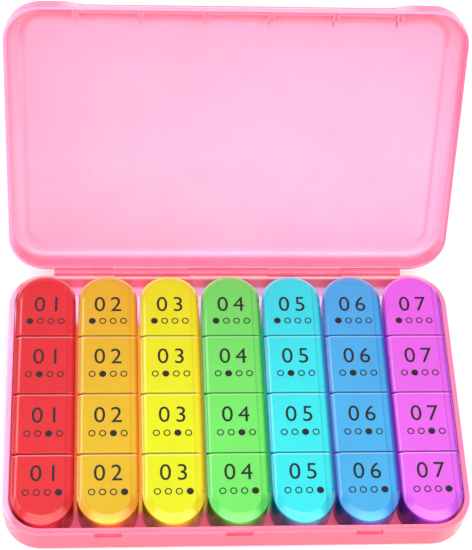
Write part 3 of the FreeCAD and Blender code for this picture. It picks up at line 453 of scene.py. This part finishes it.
def lid_plastic(tone, shaded_tone):
    """A lid's colour: its own tone on top, with painted shade in a deeper tone down its sides and bevel,
    on the hinge barrel, in the fine line where the barrel's slope begins and on the flanks of the front
    noses, and a painted shade darker towards the case hinge.  The sloped noses and the lip along each seam
    are painted paler and given a painted glow, standing in for the highlights along these thin edges of
    clear plastic."""
    tone, shaded_tone = linear(*tone), linear(*shaded_tone)
    highlight_colour = tuple(0.6 * part + 0.4 for part in tone[:3]) + (1.0,)

    def paint(finish, x, y, z):
        across = x.wrapped(-COLUMN / 2, COLUMN / 2)
        beyond = (abs(y) - END).most(0.0)
        spread = (across * across + beyond * beyond).power(0.5)
        front = finish.under(y, 0.0, fade=0.001)
        nose = finish.past(spread, NOSE, fade=0.0028) * finish.past(beyond, 0.002, fade=0.010)
        tip = finish.under(abs(across), 0.0100, fade=0.0065)
        flank = finish.past(spread, NOSE, fade=0.0006) * finish.past(beyond, 0.0, fade=0.004)
        flank = flank * front * (1.0 - tip)
        rim = finish.past(spread, NOSE_RIM) * finish.past(beyond, 0.0, fade=0.002) * (1.0 - front)
        lip = finish.past(y.wrapped(0.0, SLOT), SLOT - LIP_WIDTH, fade=0.0003)
        lip = lip * finish.under(abs(y), 0.050, fade=0.001)
        # the sides' painted shade begins lower down at the round ends, where the top slopes
        lower = END_DROP * finish.past(abs(y), 0.055, fade=0.001)
        side = finish.under(z + lower, LID_TOP - SIDE_DROP, fade=0.0003)
        # painted light and shade: shade on the slope, its fine line, the front noses' flanks (more on the
        # right), the left bevel's outer part, the hinge barrel and the sides; paler painted highlights on
        # the seam lips and the rear noses' rims
        colour = finish.layers(
            tone,
            (0.08 * finish.past(across, SLOPE, fade=0.0003), shaded_tone),
            (0.4 * finish.under(abs(across - SLOPE), 0.0004, fade=0.0003), shaded_tone),
            (0.35 * lip, highlight_colour),
            (0.5 * rim, highlight_colour),
            (flank * finish.span(across, -0.010, 0.012, to_low=0.25, to_high=0.55), shaded_tone),
            (0.8 * finish.under(across, LEFT_BAND - SIDE, fade=0.0009), shaded_tone),
            (0.8 * finish.past(across, AXIS, fade=0.0009), shaded_tone),
            (0.85 * side, shaded_tone))
        # painted shade, darker towards the case hinge
        colour = finish.blend(finish.past(y, -0.020, fade=0.090), colour, BACK_SHADE, "MULTIPLY")
        # painted glow on the noses and the seam lips, standing in for the highlights on these thin edges
        painted_glow = finish.layers(
            NO_LIGHT,
            (nose * (1.0 - front), dimmed(tone, 0.18)),
            (nose * tip * front, dimmed(tone, 0.50)),
            (lip, dimmed(highlight_colour, 0.05)))
        # the bevel along the left side is a little round, so that a light runs down it as a line
        beside = across + (SIDE - ROUND_INSET)
        relief = (ROUND_STEEPNESS * (ROUND_HALF ** 2 - beside * beside)).most(0.0)
        return colour, painted_glow, relief
    return paint


# painted shade on the left of a box's front end, and the painted pink glow of the tray's wall on its
# middle
END_SHADE = (0.30, 0.30, 0.36, 1.0)
TRAY_SHINE = (0.20, 0.02, 0.05)


def box_plastic(shaded_tone):
    """A box's colour: a painted glow stands in for light coming through its thin side walls but not
    through its round ends, painted shade darkens the box towards its bottom and on the left of its front
    end, and a painted pink glow on the middle of that end stands in for the tray's wall shining on it."""
    shaded_tone = linear(*shaded_tone)
    shining = tuple(0.3 * part + pink for part, pink in zip(shaded_tone, TRAY_SHINE)) + (1.0,)

    def paint(finish, x, y, z):
        across = x.wrapped(-COLUMN / 2, COLUMN / 2)
        sides = finish.under(abs(y), END, fade=0.004)
        shaded = finish.under(y, -END, fade=0.003) * finish.under(across, 0.0, fade=0.010)
        front = finish.under(y, -END - 0.005, fade=0.005)
        front = front * finish.past(across, -0.009, fade=0.006) * finish.under(across, 0.0085, fade=0.0035)
        # painted shade, darker towards the bottom
        colour = finish.blend(finish.past(z, 0.004, fade=0.016), dimmed(shaded_tone, 0.8), shaded_tone)
        colour = finish.blend(shaded, colour, END_SHADE, "MULTIPLY")
        # painted glow: faint all over, stronger on the side walls, pink in the middle of the front end
        painted_glow = finish.layers(dimmed(shaded_tone, 0.06), (sides, dimmed(shaded_tone, 0.5)), (front, shining))
        return colour, painted_glow, None
    return paint


for day, (name, tone, shaded_tone) in DAY_COLOURS.items():
    dress(["day_%d_lid_%d" % (day, slot) for slot in SLOTS],
          moulded(name + "_lid_plastic", lid_plastic(tone, shaded_tone), gloss=0.14, glow=0.2, shine=0.3))
    dress(["day_%d_box" % day], moulded(name + "_box_plastic", box_plastic(shaded_tone), gloss=0.12, glow=0.3))


# ---------------------------------------------------------------------------
# Printing on the flip lids: black pad print, a numeral for the day and under it
# four pips, one to each time of day, the lid's own pip filled in.
# ---------------------------------------------------------------------------

INK_THICKNESS = 0.00004


def pad_print():
    """Matt black ink, a little thin where the pad lifted off."""
    finish = Finish("black_pad_print")
    thin = finish.span(finish.noise(900.0, detail=3.0, roughness=0.7), 0.35, 0.75)
    finish.feed(finish.shader, {
        "Base Color": finish.blend(thin, linear(8, 7, 9), linear(20, 18, 22)),
        "Roughness": 0.38 + 0.2 * thin,
        "Normal": finish.bump(thin, strength=0.15, distance=INK_THICKNESS),
    })
    return finish.material


INK = pad_print()
NUMERAL_HEIGHT = 0.0083
NUMERAL_SPACING = 1.35
CURVE_STEPS = 6
PIP_RADIUS = 0.0017
PIP_LINE = 0.00055
PIP_SPACING = 0.0051
# how far the numeral's foot and the middle of the pips lie in front of each lid's rear edge
PRINT_PLACES = {1: (0.0213, 0.0268), 2: (0.0156, 0.0213), 3: (0.0156, 0.0213), 4: (0.0140, 0.0197)}


def numeral(day):
    """The numeral as a thin solid on the XY plane, its foot on y = 0 and its middle on x = 0."""
    curve = bpy.data.curves.new("numeral", "FONT")
    curve.body = "%02d" % day
    curve.extrude = INK_THICKNESS / 2
    curve.space_character = NUMERAL_SPACING
    curve.resolution_u = CURVE_STEPS
    maker = bpy.data.objects.new("numeral", curve)
    bpy.context.scene.collection.objects.link(maker)
    bpy.context.view_layer.update()
    mesh = bpy.data.meshes.new_from_object(maker)
    bpy.data.objects.remove(maker)
    spots = np.zeros(len(mesh.vertices) * 3)
    mesh.vertices.foreach_get("co", spots)
    spots = spots.reshape(-1, 3)
    low, high = spots.min(0), spots.max(0)
    grow = NUMERAL_HEIGHT / (high[1] - low[1])
    spots[:, 0] = (spots[:, 0] - (low[0] + high[0]) / 2) * grow
    spots[:, 1] = (spots[:, 1] - low[1]) * grow
    spots[:, 2] = np.where(spots[:, 2] > 0, INK_THICKNESS, 0.0)
    faces = [tuple(face.vertices) for face in mesh.polygons]
    bpy.data.meshes.remove(mesh)
    return spots, faces


def turned(profile, around=40):
    """A profile of (radius, height) points carried round the Z axis: x = radius cos, y = radius sin.
    The profile is closed, so the faces close both ways."""
    turn = np.linspace(0, 2 * np.pi, around, endpoint=False)
    radius, height = np.array(profile).T
    spots = np.stack([np.outer(np.cos(turn), radius), np.outer(np.sin(turn), radius),
                      np.tile(height, (around, 1))], -1).reshape(-1, 3)
    count = len(radius)
    row, column = np.meshgrid(np.arange(around), np.arange(count), indexing="ij")
    ahead, beside = (row + 1) % around, (column + 1) % count
    faces = np.stack([row * count + column, ahead * count + column,
                      ahead * count + beside, row * count + beside], -1).reshape(-1, 4)
    return spots, [tuple(face) for face in faces.tolist()]


def pip(filled):
    """One pip: a thin ring, or a thin disc."""
    hole = 0.0 if filled else PIP_RADIUS - PIP_LINE
    return turned([(hole, 0.0), (PIP_RADIUS, 0.0), (PIP_RADIUS, INK_THICKNESS), (hole, INK_THICKNESS)])


MERGE, SLIVER = 1e-6, 1e-7        # points this close become one, faces this thin are dropped


def printed_piece(name, parts, body):
    """Joins thin solids, each with its own offset, into one piece of ink on its flip lid."""
    mesh = bpy.data.meshes.new(name)
    spots, faces, count = [], [], 0
    for points, loops, offset in parts:
        spots.append(points + np.array(offset))
        faces += [tuple(index + count for index in loop) for loop in loops]
        count += len(points)
    mesh.from_pydata(np.concatenate(spots).tolist(), [], faces)
    shaped = bmesh.new()
    shaped.from_mesh(mesh)
    bmesh.ops.remove_doubles(shaped, verts=shaped.verts, dist=MERGE)
    bmesh.ops.dissolve_degenerate(shaped, edges=shaped.edges, dist=SLIVER)
    bmesh.ops.recalc_face_normals(shaped, faces=shaped.faces)
    shaped.to_mesh(mesh)
    shaped.free()
    mesh.materials.append(INK)
    piece = bpy.data.objects.new(name, mesh)
    bpy.context.scene.collection.objects.link(piece)
    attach(piece, body)


for day in DAY_COLOURS:
    digits = numeral(day)
    for slot in SLOTS:
        lid_name = "day_%d_lid_%d" % (day, slot)
        low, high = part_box(lid_name)
        middle = (low.x + high.x) / 2
        foot, pips = (high.y - down for down in PRINT_PLACES[slot])
        parts = [(*digits, (middle, foot, high.z))]
        for mark in SLOTS:
            parts.append((*pip(mark == slot), (middle + (mark - 2.5) * PIP_SPACING, pips, high.z)))
        printed_piece("print_%d_%d" % (day, slot), parts, lid_name)


# ---------------------------------------------------------------------------
# The studio: a plain white table top and five soft lights, a large one overhead and
# towards the front, a weak fill in front, two on the left, one of them only for the
# gloss, and a warm one on the right.
# ---------------------------------------------------------------------------

WHITE = (1.0, 1.0, 1.0)


def table_top():
    """Plain white board with a barely visible grain."""
    finish = Finish("white_table_top")
    grain = finish.noise(60.0, detail=4.0, roughness=0.6)
    finish.feed(finish.shader, {
        "Base Color": finish.blend(grain, linear(250, 250, 250), linear(246, 246, 247)),
        "Roughness": 0.6 + 0.1 * grain,
        "Specular IOR Level": 0.2,
        "Emission Color": (*WHITE, 1.0),
        "Emission Strength": 0.1,
    })
    return finish.material


TABLE_REACH = 6.0
table_corners = [(x * TABLE_REACH, y * TABLE_REACH, 0) for x, y in ((-1, -1), (1, -1), (1, 1), (-1, 1))]
floor_mesh = bpy.data.meshes.new("table_top")
floor_mesh.from_pydata(table_corners, [], [(0, 1, 2, 3)])
floor_mesh.materials.append(table_top())
floor = bpy.data.objects.new("table_top", floor_mesh)
bpy.context.scene.collection.objects.link(floor)


CASE_MIDDLE = Vector((0.0, 0.03, 0.03))


def softbox(name, place, width, height, watts, colour=WHITE, gloss_only=False):
    """A rectangular soft light that faces the middle of the case.  One that is gloss_only shows
    in the gloss and leaves the shading alone."""
    lamp = bpy.data.lights.new(name, "AREA")
    lamp.shape = "RECTANGLE"
    lamp.size, lamp.size_y = width, height
    lamp.energy = watts
    lamp.color = colour
    stand = bpy.data.objects.new(name, lamp)
    stand.location = place
    stand.rotation_euler = (CASE_MIDDLE - Vector(place)).to_track_quat("-Z", "Y").to_euler()
    stand.visible_diffuse = not gloss_only
    bpy.context.scene.collection.objects.link(stand)


softbox("overhead", (0.05, -0.55, 1.18), width=1.9, height=0.7, watts=19.0)
softbox("front_fill", (0.2, -1.3, 0.55), width=1.2, height=0.6, watts=2.5)
softbox("left_strip", (-0.75, 0.58, 0.74), width=1.0, height=0.25, watts=7.0,
        colour=(0.97, 0.95, 1.0), gloss_only=True)
softbox("left_cool", (-1.1, 0.0, 0.45), width=0.5, height=0.9, watts=5.0, colour=(0.86, 0.82, 1.0))
softbox("right_warm", (1.1, 0.1, 0.35), width=0.5, height=0.7, watts=2.5, colour=(1.0, 0.86, 0.82))

ROOM_LIGHT = 0.55
world = bpy.data.worlds.new("studio")
world.use_nodes = True
world.node_tree.nodes["Background"].inputs["Color"].default_value = (*WHITE, 1.0)
world.node_tree.nodes["Background"].inputs["Strength"].default_value = ROOM_LIGHT
bpy.context.scene.world = world
bpy.context.scene.view_settings.view_transform = "Standard"


# ---------------------------------------------------------------------------
# The camera: a long lens that looks down on the open case from the front, a little
# turned and rolled.  Its place and its three directions are in the frame's metres.
# ---------------------------------------------------------------------------

CAMERA_PLACE = (-0.062539, -0.385685, 0.745230)
CAMERA_RIGHT = (0.99701, -0.04096, 0.06554)
CAMERA_UP = (-0.00021, 0.84654, 0.53233)
CAMERA_AHEAD = (0.07728, 0.53075, -0.84400)

lens = bpy.data.cameras.new("camera")
lens.sensor_fit = "VERTICAL"
lens.sensor_height = 24.0
lens.lens = 73.85
lens.clip_start, lens.clip_end = 0.01, 50.0
camera = bpy.data.objects.new("camera", lens)
turn = Matrix((CAMERA_RIGHT, CAMERA_UP, [-part for part in CAMERA_AHEAD])).transposed().to_4x4()
camera.matrix_world = Matrix.Translation(CAMERA_PLACE) @ turn
bpy.context.scene.collection.objects.link(camera)
bpy.context.scene.camera = camera
